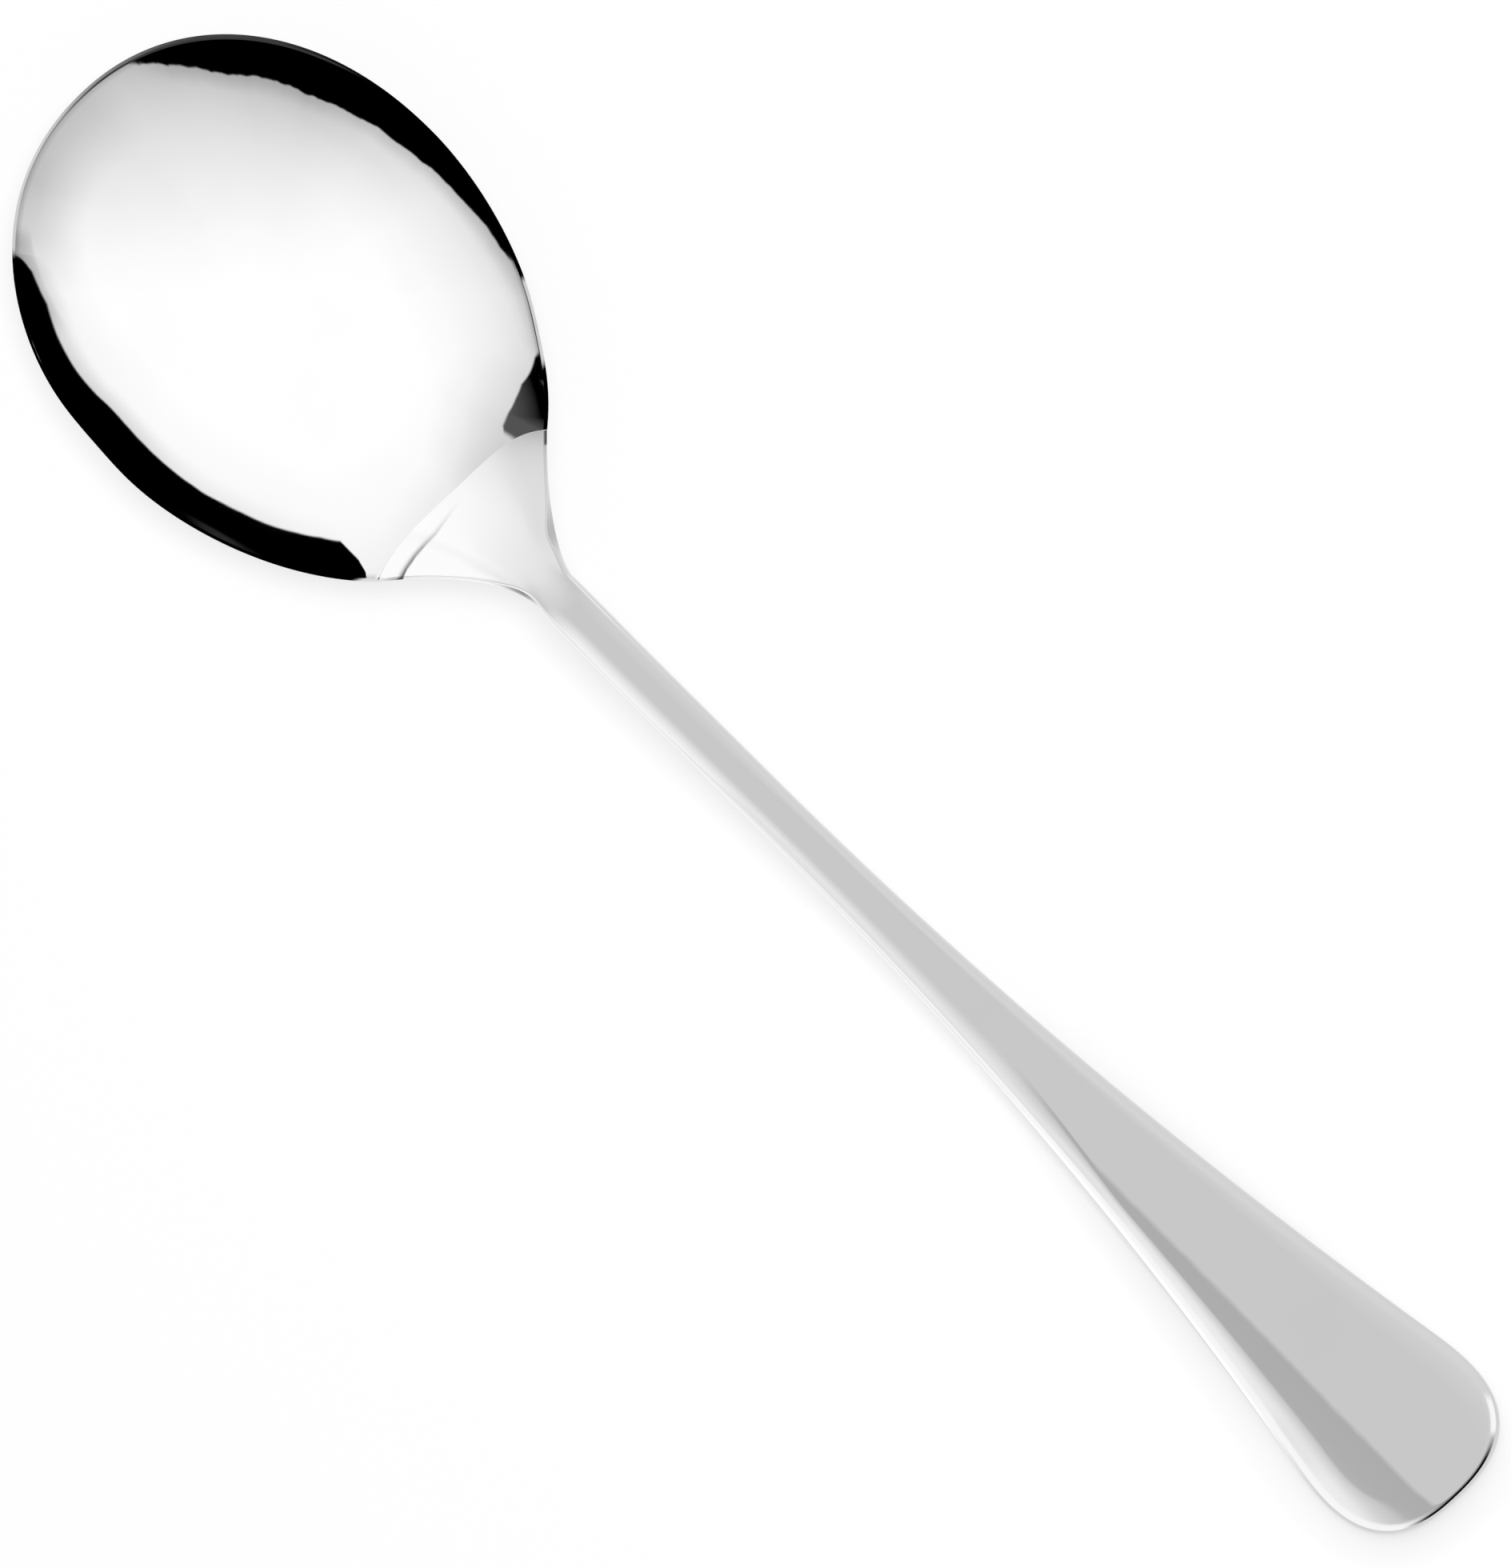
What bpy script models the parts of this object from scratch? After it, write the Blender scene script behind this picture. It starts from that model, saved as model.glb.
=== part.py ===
"""Salad serving spoon: a pressed bowl and a forged handle that meet along one weld seam.

Metres, +Z up, +X from the bowl's tip to the handle's end. The spoon lies on its back, on the foot of the
bowl and on the flat under the handle's end, both at z = 0, and the origin is below the middle of its box.
"""

import math

import bmesh
import bpy
from mathutils import Vector
from mathutils.geometry import interpolate_bezier

for leftover in list(bpy.data.objects):
    bpy.data.objects.remove(leftover)

# Bowl: an oval whose widest line parts a short blunt tip from a longer root
BOWL_WIDTH = 0.0580
BOWL_TIP_REACH = 0.0350
BOWL_ROOT_REACH = 0.0415
TIP_FULLNESS = 2.12
ROOT_FULLNESS = 1.85
BOWL_HEIGHT = 0.0125
BOWL_SWELL = 1.7
BOWL_WALL = 0.0012
RIM_CROWN = 0.00035
FOOT_WIDTH = 0.0090
SHOULDER_LIFT = 0.0050
SHOULDER_TIGHTNESS = 45.0

# Weld seam: an arc across the root of the bowl that bulges towards the bowl
SEAM_INSET = 0.0088
SEAM_RADIUS = 0.0320
SEAM_GAP = 0.0003

# Handle, along X: fan-shaped root, neck, flare and rounded end
HANDLE_LENGTH = 0.1773
FAN_LENGTH = 0.0156
FAN_EASE = 1.78
NECK_WIDTH = 0.0058
FLARE_START = 0.0540
END_WIDTH = 0.0241
END_ROUND = 0.0173
END_FULLNESS = 2.46

# Handle, in height: the neck crests above the bowl, and the end lies flat
CREST_REACH = 0.0260
TROUGH_EASE = 1.8
CREST_HEIGHT = 0.0120
NECK_RISE = math.radians(4.0)
CREST_SWEEP = 0.0120
FLAT_SWEEP = 0.0320
FLAT_LEAD = 0.0040

# Handle section, from below: flat belly with rounded edges, upright flank, crowned top
NECK_BELLY = 0.0010
NECK_FLANK = 0.0012
NECK_CROWN = 0.0018
END_BELLY = 0.0004
END_FLANK = 0.0008
END_CROWN = 0.0010
CROWN_FULLNESS = 2.5
BELLY_ROUND = 0.0022
BELLY_FULLNESS = 2.0
NOSE_ROUND = 0.0020

# Facets
RIM_STEPS = 48
SEAM_STEPS = 12
WALL_STEPS = 9
SECTION_STEPS = 12
FAN_STEPS = 10
SHANK_STEPS = 16
END_STEPS = 9
LAST_TURN = math.radians(86.0)
SHARP_ANGLE = math.radians(35.0)

# Places that follow from the sizes, along X from the bowl's widest line
FOOT_REACH = FOOT_WIDTH / 2
SEAM_X = BOWL_ROOT_REACH - SEAM_INSET
END_X = SEAM_X + HANDLE_LENGTH
CREST_X = SEAM_X + CREST_REACH
ROUND_X = END_X - END_ROUND
FLAT_X = ROUND_X - FLAT_LEAD
NOSE_X = END_X - NOSE_ROUND
FLARE_X = SEAM_X + FLARE_START


def mix(start, end, share):
    return start + (end - start) * share


def rounded(share, fullness):
    """Height of a superellipse quarter of unit size, 1 at its middle and 0 at its edge."""
    return max(0.0, 1.0 - abs(share) ** fullness) ** (1.0 / fullness)


def rim_reach(angle):
    """Distance in plan from the bowl's middle to the rim, at an angle from the handle's side."""
    along = math.cos(angle)
    half_length = BOWL_ROOT_REACH if along > 0 else BOWL_TIP_REACH
    fullness = ROOT_FULLNESS if along > 0 else TIP_FULLNESS
    lengthwise = abs(along / half_length) ** fullness
    crosswise = abs(math.sin(angle) / (BOWL_WIDTH / 2)) ** fullness
    return (lengthwise + crosswise) ** (-1.0 / fullness)


def rim_height(angle):
    """The rim is level, and sweeps up at the shoulders beside the handle."""
    return BOWL_HEIGHT + SHOULDER_LIFT * ((1.0 + math.cos(angle)) / 2) ** SHOULDER_TIGHTNESS


def back_point(climb, angle):
    """A point of the bowl's back: climb goes from 0 at the foot's edge to 1 at the rim."""
    reach = mix(FOOT_REACH, rim_reach(angle), climb)
    height = rim_height(angle) * climb**BOWL_SWELL
    return Vector((reach * math.cos(angle), reach * math.sin(angle), height))


def wall_frame(climb, angle):
    """Unit vectors at a point of the back: up along the wall, and through the wall to the inside."""
    step = 1e-4
    up = back_point(climb + step, angle) - back_point(climb - step * (climb > step), angle)
    across = back_point(climb, angle + step) - back_point(climb, angle - step)
    return up.normalized(), up.cross(across).normalized()


def seam_reach(angle, shift):
    """Distance in plan from the bowl's middle to the seam's arc, moved along X by shift."""
    along = math.cos(angle)
    start = SEAM_X + shift
    inner = along**2 - 2.0 * start * math.sin(angle) ** 2 / SEAM_RADIUS
    return 2.0 * start / (along + math.sqrt(max(0.0, inner)))


def corner_angle(shift):
    """The angle at which the seam's arc runs out over the rim."""
    low = 0.0
    high = math.pi / 3
    for _ in range(60):
        middle = (low + high) / 2
        if seam_reach(middle, shift) < rim_reach(middle):
            low = middle
        else:
            high = middle
    return low


def climb_at(reach, angle):
    return (reach - FOOT_REACH) / (rim_reach(angle) - FOOT_REACH)


def solid(name, rings, caps, colour, roughness):
    """One closed body through rings of equal count, closed by faces that name their ring and places."""
    mesh = bpy.data.meshes.new(name)
    body = bmesh.new()
    loops = [[body.verts.new(point) for point in ring] for ring in rings]
    count = len(loops[0])
    for lower, upper in zip(loops, loops[1:]):
        for here in range(count):
            beside = (here + 1) % count
            body.faces.new((lower[here], lower[beside], upper[beside], upper[here]))
    for ring, places in caps:
        body.faces.new([loops[ring][place] for place in places])
    bmesh.ops.recalc_face_normals(body, faces=body.faces)
    body.to_mesh(mesh)
    body.free()
    mesh.shade_smooth()
    mesh.set_sharp_from_angle(angle=SHARP_ANGLE)
    steel = bpy.data.materials.new(name + "_steel")
    steel.use_nodes = True
    shader = steel.node_tree.nodes["Principled BSDF"]
    shader.inputs["Base Color"].default_value = colour
    shader.inputs["Metallic"].default_value = 1.0
    shader.inputs["Roughness"].default_value = roughness
    mesh.materials.append(steel)
    made = bpy.data.objects.new(name, mesh)
    bpy.context.scene.collection.objects.link(made)
    return made


def bowl_angles(corner):
    """Angles round the bowl: along the seam from one corner to the other, then round the rim."""
    seam = [mix(-corner, corner, i / SEAM_STEPS) for i in range(SEAM_STEPS)]
    rim = [mix(corner, 2 * math.pi - corner, i / RIM_STEPS) for i in range(RIM_STEPS)]
    return seam + rim


def make_bowl():
    """Rings climb the back from the foot to the rim, turn over its crown and go down the inside."""
    shift = -SEAM_GAP / 2
    angles = bowl_angles(corner_angle(shift))
    seam = angles[: SEAM_STEPS + 1]
    tops = [min(1.0, climb_at(seam_reach(angle, shift), angle)) for angle in seam]
    tops += [1.0] * (len(angles) - len(tops))
    back = []
    inside = []
    for i in range(WALL_STEPS + 1):
        share = i / WALL_STEPS
        outer = [back_point(top * share, angle) for top, angle in zip(tops, angles)]
        walls = [wall_frame(top * share, angle)[1] for top, angle in zip(tops, angles)]
        back.append(outer)
        inside.append([point + wall * BOWL_WALL for point, wall in zip(outer, walls)])
    crown = []
    for i, (top, angle) in enumerate(zip(tops, angles)):
        up, _ = wall_frame(top, angle)
        rise = 0.0 if i < len(seam) else RIM_CROWN
        crown.append((back[-1][i] + inside[-1][i]) / 2 + up * rise)
    rings = back + [crown] + inside[::-1]
    everywhere = range(len(angles))
    caps = [(0, everywhere), (len(rings) - 1, everywhere)]
    return solid("bowl", rings, caps, (0.64, 0.64, 0.65, 1.0), 0.06)


def root_edge(across, corner):
    """The two edges of the handle's root at a share across the seam, which carry on the bowl's wall."""
    shift = SEAM_GAP / 2
    half = seam_reach(corner, shift) * math.sin(corner)
    y = half * across
    x = SEAM_X + shift + y * y / (2.0 * SEAM_RADIUS)
    angle = math.atan2(y, x)
    climb = min(1.0, climb_at(math.hypot(x, y), angle))
    lower = back_point(climb, angle)
    _, wall = wall_frame(climb, angle)
    return lower, lower + wall * BOWL_WALL


def rail_points(root):
    """The line under the middle of the handle: up over the neck's crest, down, and flat to the end."""
    crest = Vector((CREST_X, 0.0, CREST_HEIGHT))
    flat = Vector((FLAT_X, 0.0, 0.0))
    third = (CREST_X - root.x) / 3
    rise = Vector((math.cos(NECK_RISE), 0.0, math.sin(NECK_RISE))) * third
    level = Vector((third, 0.0, 0.0))
    crest_sweep = Vector((CREST_SWEEP, 0.0, 0.0))
    flat_sweep = Vector((FLAT_SWEEP, 0.0, 0.0))
    fan = interpolate_bezier(root, root + rise, crest - level, crest, FAN_STEPS + 1)
    shank = interpolate_bezier(crest, crest + crest_sweep, flat - flat_sweep, flat, SHANK_STEPS + 1)
    points = list(fan) + list(shank)[1:]
    for i in range(END_STEPS):
        turn = LAST_TURN * i / (END_STEPS - 1)
        points.append(Vector((mix(ROUND_X, END_X, math.sin(turn)), 0.0, 0.0)))
    return points


def half_width(x, edge_x, edge_width):
    """Half of the handle's width in plan: it narrows from the seam's corner, flares and rounds off."""
    width = NECK_WIDTH / 2
    fan = min(1.0, (x - edge_x) / FAN_LENGTH)
    width += (edge_width - NECK_WIDTH / 2) * (1.0 - fan) ** FAN_EASE
    flare = max(0.0, (x - FLARE_X) / (ROUND_X - FLARE_X))
    width += (END_WIDTH - NECK_WIDTH) / 2 * flare**2
    return width * rounded(max(0.0, (x - ROUND_X) / END_ROUND), END_FULLNESS)


def make_handle():
    """Rings follow the rail, and the root's trough fades out of them along the fan."""
    corner = corner_angle(SEAM_GAP / 2)
    shares = [math.cos(math.pi * i / SECTION_STEPS) for i in range(SECTION_STEPS + 1)]
    edges = [root_edge(share, corner) for share in shares]
    root, _ = root_edge(0.0, corner)
    edge_x = edges[0][0].x
    edge_width = edges[0][0].y
    rail = rail_points(root)
    rings = []
    for i, point in enumerate(rail):
        ahead = rail[min(i + 1, len(rail) - 1)] - rail[max(i - 1, 0)]
        normal = Vector((-ahead.z, 0.0, ahead.x)).normalized()
        trough = (1.0 - min(1.0, (point.x - root.x) / CREST_REACH)) ** TROUGH_EASE
        width = half_width(point.x + trough * (edge_x - root.x), edge_x, edge_width)
        thin = min(1.0, max(0.0, (point.x - CREST_X) / (FLAT_X - CREST_X)))
        belly = mix(NECK_BELLY, END_BELLY, thin)
        flank = mix(NECK_FLANK, END_FLANK, thin)
        crown = mix(NECK_CROWN, END_CROWN, thin)
        middle = belly + flank / 2
        nose = rounded(max(0.0, (point.x - NOSE_X) / NOSE_ROUND), END_FULLNESS)
        top = []
        under = []
        for share, (lower, upper) in zip(shares, edges):
            side = Vector((point.x, width * share, point.z))
            lower_fade = Vector((lower.x - root.x, 0.0, lower.z - root.z)) * trough
            upper_fade = Vector((upper.x - root.x, 0.0, upper.z - root.z)) * trough
            off_flat = max(0.0, 1.0 - (1.0 - abs(share)) * width / BELLY_ROUND)
            down = mix(middle, belly * (1.0 - rounded(off_flat, BELLY_FULLNESS)), nose)
            up = mix(middle, belly + flank + crown * rounded(share, CROWN_FULLNESS), nose)
            under.append(side + lower_fade + normal * down * (1.0 - trough))
            top.append(side + upper_fade + normal * up * (1.0 - trough))
        rings.append(top + under[::-1])
    count = len(rings[0])
    last = len(rings) - 1
    caps = []
    for ring in (0, last):
        for i in range(SECTION_STEPS):
            caps.append((ring, (i, i + 1, count - 2 - i, count - 1 - i)))
    return solid("handle", rings, caps, (0.64, 0.64, 0.65, 1.0), 0.09)


def place(pieces):
    """Both pieces hang on one empty, moved so that the origin is below the middle of the spoon's box."""
    spoon = bpy.data.objects.new("spoon", None)
    bpy.context.scene.collection.objects.link(spoon)
    reach = [vertex.co.x for piece in pieces for vertex in piece.data.vertices]
    for piece in pieces:
        piece.parent = spoon
    spoon.location.x = -(min(reach) + max(reach)) / 2
    print("overall length", round(max(reach) - min(reach), 5), "middle at", round(-spoon.location.x, 5))


place([make_bowl(), make_handle()])
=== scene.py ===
# %% [markdown]
# # A polished salad serving spoon
#
# The spoon lies on its back on a white table. It is two pieces of steel: a pressed bowl, and a forged handle
# that is welded to the bowl's root and polished over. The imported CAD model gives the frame, so this lesson
# first loads it and keeps its box. Nothing that follows may grow out of that box.

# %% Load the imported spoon
import math

import bpy
import numpy as np
from mathutils import Matrix, Vector


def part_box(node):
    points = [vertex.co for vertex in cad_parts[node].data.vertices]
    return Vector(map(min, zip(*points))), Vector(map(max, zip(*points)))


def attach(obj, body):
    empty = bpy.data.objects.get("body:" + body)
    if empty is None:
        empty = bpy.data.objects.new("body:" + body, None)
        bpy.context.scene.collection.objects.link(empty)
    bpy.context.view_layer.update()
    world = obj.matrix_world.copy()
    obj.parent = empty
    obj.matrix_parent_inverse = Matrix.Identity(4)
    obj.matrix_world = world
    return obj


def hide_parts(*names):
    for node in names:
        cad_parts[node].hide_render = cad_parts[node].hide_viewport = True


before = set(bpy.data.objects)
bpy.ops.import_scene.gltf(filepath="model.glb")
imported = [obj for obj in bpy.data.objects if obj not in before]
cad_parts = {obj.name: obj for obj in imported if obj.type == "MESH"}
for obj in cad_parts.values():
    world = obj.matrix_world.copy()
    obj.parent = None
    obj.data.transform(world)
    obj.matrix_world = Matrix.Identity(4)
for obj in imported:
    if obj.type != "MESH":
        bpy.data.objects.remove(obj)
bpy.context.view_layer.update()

bowl_low, bowl_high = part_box("bowl")
_, handle_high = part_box("handle")

# %% [markdown]
# ## The bowl's outline
#
# Seen from above the bowl is an egg: a short blunt tip and a longer root, parted by the widest line. A
# superellipse for each half gives both from four sizes. The rim was trimmed by hand and is flatter by a hair
# in two places, on the near side and at the far shoulder. The main sizes are those of the CAD solids,
# measured from the bowl's widest line, but the meshes are much finer, because a mirror shows every facet.

# %% Bowl outline
BOWL_HALF_WIDTH = bowl_high.y
BOWL_TIP_REACH = 0.0350
BOWL_ROOT_REACH = 0.0415
TIP_FULLNESS = 2.12
ROOT_FULLNESS = 1.85
NEAR_FLAT = 0.013
NEAR_FLAT_ANGLE = 264.0
NEAR_FLAT_SPREAD = 26.0
SHOULDER_FLAT = 0.008
SHOULDER_FLAT_ANGLE = 38.0
SHOULDER_FLAT_SPREAD = 17.0
BOWL_X = bowl_low.x + BOWL_TIP_REACH


def mix(start, end, share):
    return start + (end - start) * share


def bump(value, middle, spread):
    """A soft hill, 1 at the middle and almost 0 one spread away."""
    return np.exp(-4.0 * ((value - middle) / spread) ** 2)


def rim_reach(angle):
    """Distance in plan from the bowl's middle to the rim, at an angle from the handle's side."""
    along = np.cos(angle)
    half_length = np.where(along > 0, BOWL_ROOT_REACH, BOWL_TIP_REACH)
    fullness = np.where(along > 0, ROOT_FULLNESS, TIP_FULLNESS)
    lengthwise = np.abs(along / half_length) ** fullness
    crosswise = np.abs(np.sin(angle) / BOWL_HALF_WIDTH) ** fullness
    degrees = np.degrees(angle) % 360.0
    near = bump(degrees, NEAR_FLAT_ANGLE, NEAR_FLAT_SPREAD)
    shoulder = bump(degrees, SHOULDER_FLAT_ANGLE, SHOULDER_FLAT_SPREAD)
    flat = 1.0 - NEAR_FLAT * near - SHOULDER_FLAT * shoulder
    return flat * (lengthwise + crosswise) ** (-1.0 / fullness)


print("bowl", round((BOWL_TIP_REACH + BOWL_ROOT_REACH) * 1000, 1), "mm long before the seam cuts it")

# %% [markdown]
# ## The bowl's wall
#
# A press draws the bowl from sheet 1.2 mm thick. The back rises from a small flat foot, slowly at first, and
# the lining inside is one smooth dish without a flat, or its mirror image would break at the flat's edge.
# The rim is level, and sweeps up beside the handle.

# %% Bowl wall
RIM_LAND = 0.00045
TIP_LAND = 0.00025
TIP_LAND_ANGLE = 160.0
TIP_LAND_SPREAD = 75.0
RIM_TILT = math.radians(38.0)
RIM_TOP = 0.0134
BOWL_SWELL = 1.7
FOOT_REACH = 0.0045
SHOULDER_LIFT = 0.0030
SHOULDER_TIGHTNESS = 30.0
LINING_FLOOR = 0.0012
LINING_SWELL = 2.0


def unit(vectors):
    return vectors / np.linalg.norm(vectors, axis=-1, keepdims=True)


def points(x, y, z):
    return np.stack(np.broadcast_arrays(x, y, z), axis=-1)


def rim_land(angle):
    """Width of the rim's ground land, a little wider at the tip."""
    return RIM_LAND + TIP_LAND * bump(np.degrees(angle) % 360.0, TIP_LAND_ANGLE, TIP_LAND_SPREAD)


def rim_height(angle):
    lift = SHOULDER_LIFT * ((1.0 + np.cos(angle)) / 2) ** SHOULDER_TIGHTNESS
    return RIM_TOP + lift - rim_land(angle) * math.tan(RIM_TILT)


def back_point(climb, angle):
    """A point of the bowl's back: climb goes from 0 at the foot's edge to 1 at the rim."""
    reach = mix(FOOT_REACH, rim_reach(angle), climb)
    height = rim_height(angle) * np.maximum(climb, 0.0) ** BOWL_SWELL
    return points(reach * np.cos(angle), reach * np.sin(angle), height)


def lining_edge(angle):
    """The inner edge of the rim, across its land from the outer edge."""
    step = 1e-4
    around = back_point(1.0, angle + step) - back_point(1.0, angle - step)
    inward = unit(np.cross((0.0, 0.0, 1.0), around)) + points(0.0, 0.0, math.tan(RIM_TILT))
    return back_point(1.0, angle) + inward * np.expand_dims(rim_land(angle), -1)


def lining_point(share, angle):
    """A point of the lining: share goes from 0 at the lowest point to 1 at the rim's inner edge."""
    edge = lining_edge(angle)
    height = mix(LINING_FLOOR, edge[..., 2], share**LINING_SWELL)
    return points(edge[..., 0] * share, edge[..., 1] * share, height)


print("lining", round((lining_edge(np.pi)[2] - LINING_FLOOR) * 1000, 1), "mm deep at the tip")

# %% [markdown]
# ## The weld seam
#
# The handle meets the bowl along a line that bulges towards the bowl and runs out over the rim at both
# shoulders. In the CAD the two solids stand 0.3 mm apart. Here the gap is closed to the hair line that a
# polished weld leaves. Where a ray from the bowl's middle meets the seam is found by repeated substitution.

# %% Weld seam
SEAM_INSET = 0.0089
SEAM_SKEW = 0.03
FAR_CURL = 8.9e4
NEAR_CURL = 4.3e4
SEAM_LINE = 0.00004
SEAM_X = BOWL_ROOT_REACH - SEAM_INSET
SEAM_ROUNDS = 40
CORNER_ROUNDS = 60
WIDEST_CORNER = 0.02


def seam_x(y, shift):
    """The seam's line: flat in the middle, curling towards the handle at both ends, and a little askew."""
    return SEAM_X + shift + SEAM_SKEW * y + np.where(y > 0, FAR_CURL, NEAR_CURL) * y**4


def seam_share(x, y, shift):
    """The share of the way from the bowl's middle to the point (x, y) at which the seam is met."""
    share = SEAM_X / x
    for _ in range(SEAM_ROUNDS):
        share = seam_x(share * y, shift) / x
    return share


def corner_y(side, shift):
    """How far out the seam crosses the rim, on the side of +Y (1) or -Y (-1)."""
    low, high = 0.0, WIDEST_CORNER
    for _ in range(CORNER_ROUNDS):
        y = (low + high) / 2
        x = seam_x(side * y, shift)
        if math.hypot(x, y) < rim_reach(math.atan2(y, x)):
            low = y
        else:
            high = y
    return side * low


def corner_angle(side, shift):
    y = corner_y(side, shift)
    return math.atan2(y, seam_x(y, shift))


def back_climb(x, y):
    """How far up the back the point over (x, y) lies, 1 at the rim."""
    climb = (np.hypot(x, y) - FOOT_REACH) / (rim_reach(np.arctan2(y, x)) - FOOT_REACH)
    return np.minimum(1.0, climb)


print("seam corners at", [round(math.degrees(corner_angle(side, 0.0)), 1) for side in (1, -1)], "degrees")

# %% [markdown]
# ## Lofting rings
#
# Both pieces are lofts: closed rings of equal count joined by quads. One helper turns an array of rings into
# a mesh and closes its two ends with the faces that the caller names. Another writes a number on each vertex
# that says how much shade is painted there and how matt the steel is, and the finish reads it later.

# %% Loft helper
SHARP_ANGLE = math.radians(50.0)


def loft(name, rings, centres, end_faces):
    """A closed mesh through rings; centres are (ring, point) fans and end_faces name vertices by index."""
    count = rings.shape[1]
    vertices = rings.reshape(-1, 3).tolist()
    here = np.arange(count)
    beside = (here + 1) % count
    faces = []
    for ring in range(len(rings) - 1):
        low, high = ring * count, (ring + 1) * count
        faces += np.stack([low + here, low + beside, high + beside, high + here], axis=1).tolist()
    for ring, centre in centres:
        first = (ring % len(rings)) * count
        vertices.append(list(centre))
        faces += [(first + i, first + j, len(vertices) - 1) for i, j in zip(here, beside)]
    mesh = bpy.data.meshes.new(name)
    mesh.from_pydata(vertices, [], faces + end_faces)
    mesh.update()
    piece = bpy.data.objects.new(name, mesh)
    bpy.context.scene.collection.objects.link(piece)
    bpy.context.view_layer.objects.active = piece
    bpy.ops.object.mode_set(mode="EDIT")
    bpy.ops.mesh.select_all(action="SELECT")
    bpy.ops.mesh.normals_make_consistent(inside=False)
    bpy.ops.object.mode_set(mode="OBJECT")
    mesh.shade_smooth()
    mesh.set_sharp_from_angle(angle=SHARP_ANGLE)
    print(name, len(mesh.vertices), "vertices,", len(mesh.polygons), "faces")
    return piece


def carry_painted_shade(piece, painted_shade_and_matt):
    """Writes the painted shade and matt finish on the ring vertices; the centres stay polished."""
    values = np.zeros(len(piece.data.vertices))
    values[:np.size(painted_shade_and_matt)] = np.ravel(painted_shade_and_matt)
    piece.data.attributes.new("painted_shade_and_matt", "FLOAT", "POINT").data.foreach_set("value", values)
    return piece


# %% [markdown]
# ## The bowl
#
# The rings climb the back, cross the rim and go down the lining. The rim is ground to a narrow land that
# leans outwards and is crowned by a hair, so it mirrors the foot of the room and shows as a thin dark line.
# Just inside the rim a hair of shade is painted, most along the sides, and the steel there is a little matt.

# %% Make the bowl
RIM_CROWN = 0.000003
RIM_STEPS = 400
SEAM_STEPS = 120
WALL_STEPS = 56
LAND_STEPS = 6
INNERMOST = 0.004
# strength of the dark line of shade painted just inside the rim
RIM_PAINTED_SHADE = 0.5


def make_bowl():
    shift = -SEAM_LINE / 2
    far_corner, near_corner = corner_angle(1, shift), corner_angle(-1, shift)
    seam = np.linspace(near_corner, far_corner, SEAM_STEPS)
    rim = np.linspace(far_corner, 2 * math.pi + near_corner, RIM_STEPS)[1:-1]
    angles = np.concatenate([seam, rim])
    whole = np.ones(len(rim))
    reach = seam_share(np.cos(seam), np.sin(seam), shift)
    climb = (reach - FOOT_REACH) / (rim_reach(seam) - FOOT_REACH)
    tops = np.concatenate([np.minimum(1.0, climb), whole])
    edge = lining_edge(seam)
    inner_tops = np.concatenate([np.minimum(1.0, seam_share(edge[:, 0], edge[:, 1], shift)), whole])
    climbs = np.linspace(0.0, 1.0, WALL_STEPS)
    back = [back_point(climb * tops, angles) for climb in climbs]
    lining = [lining_point(share * inner_tops, angles) for share in np.linspace(1.0, INNERMOST, WALL_STEPS)]
    lean = math.sin(RIM_TILT)
    outward = points(lean * np.cos(angles), lean * np.sin(angles), math.cos(RIM_TILT))
    land = []
    for share in np.linspace(0.0, 1.0, LAND_STEPS + 1)[1:-1]:
        crown = RIM_CROWN * 4.0 * share * (1.0 - share) * rim_land(angles) / RIM_LAND
        land.append(mix(back[-1], lining[0], share) + outward * crown[:, None])
    rings = np.array(back + land + lining)
    rings[..., 0] += BOWL_X
    centres = [(0, (BOWL_X, 0.0, 0.0)), (-1, (BOWL_X, 0.0, LINING_FLOOR))]
    painted_shade_and_matt = np.zeros(rings.shape[:2])
    # painted shade: a thin dark line on the first ring of the lining, darkest along the sides
    painted_shade_and_matt[len(back + land), SEAM_STEPS:] = RIM_PAINTED_SHADE * (0.5 + 0.5 * np.abs(np.sin(rim)))
    return carry_painted_shade(loft("pressed_bowl", rings, centres, []), painted_shade_and_matt)


bowl = make_bowl()

# %% [markdown]
# ## The handle's line
#
# Seen from the side the handle leaves the bowl, rises over a crest at the neck, comes down and lies flat at
# its end. Two cubic Bezier curves and a straight run give that rail. The rings are close where the shape
# turns fast: along the fan at the root and round the end.

# %% Handle rail
CREST_REACH = 0.0260
CREST_HEIGHT = 0.0120
NECK_RISE = math.radians(4.0)
CREST_SWEEP = 0.0120
FLAT_SWEEP = 0.0320
FLAT_LEAD = 0.0040
END_ROUND = 0.0173
END_X = handle_high.x - BOWL_X
CREST_X = SEAM_X + CREST_REACH
ROUND_X = END_X - END_ROUND
FLAT_X = ROUND_X - FLAT_LEAD
FAN_STEPS = 200
SHANK_STEPS = 100
END_STEPS = 56
LAST_TURN = math.radians(89.4)


def bezier(first, first_arm, last_arm, last, shares):
    shares = shares[:, None]
    rest = 1.0 - shares
    return (first * rest**3 + 3 * first_arm * rest**2 * shares
            + 3 * last_arm * rest * shares**2 + last * shares**3)


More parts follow.
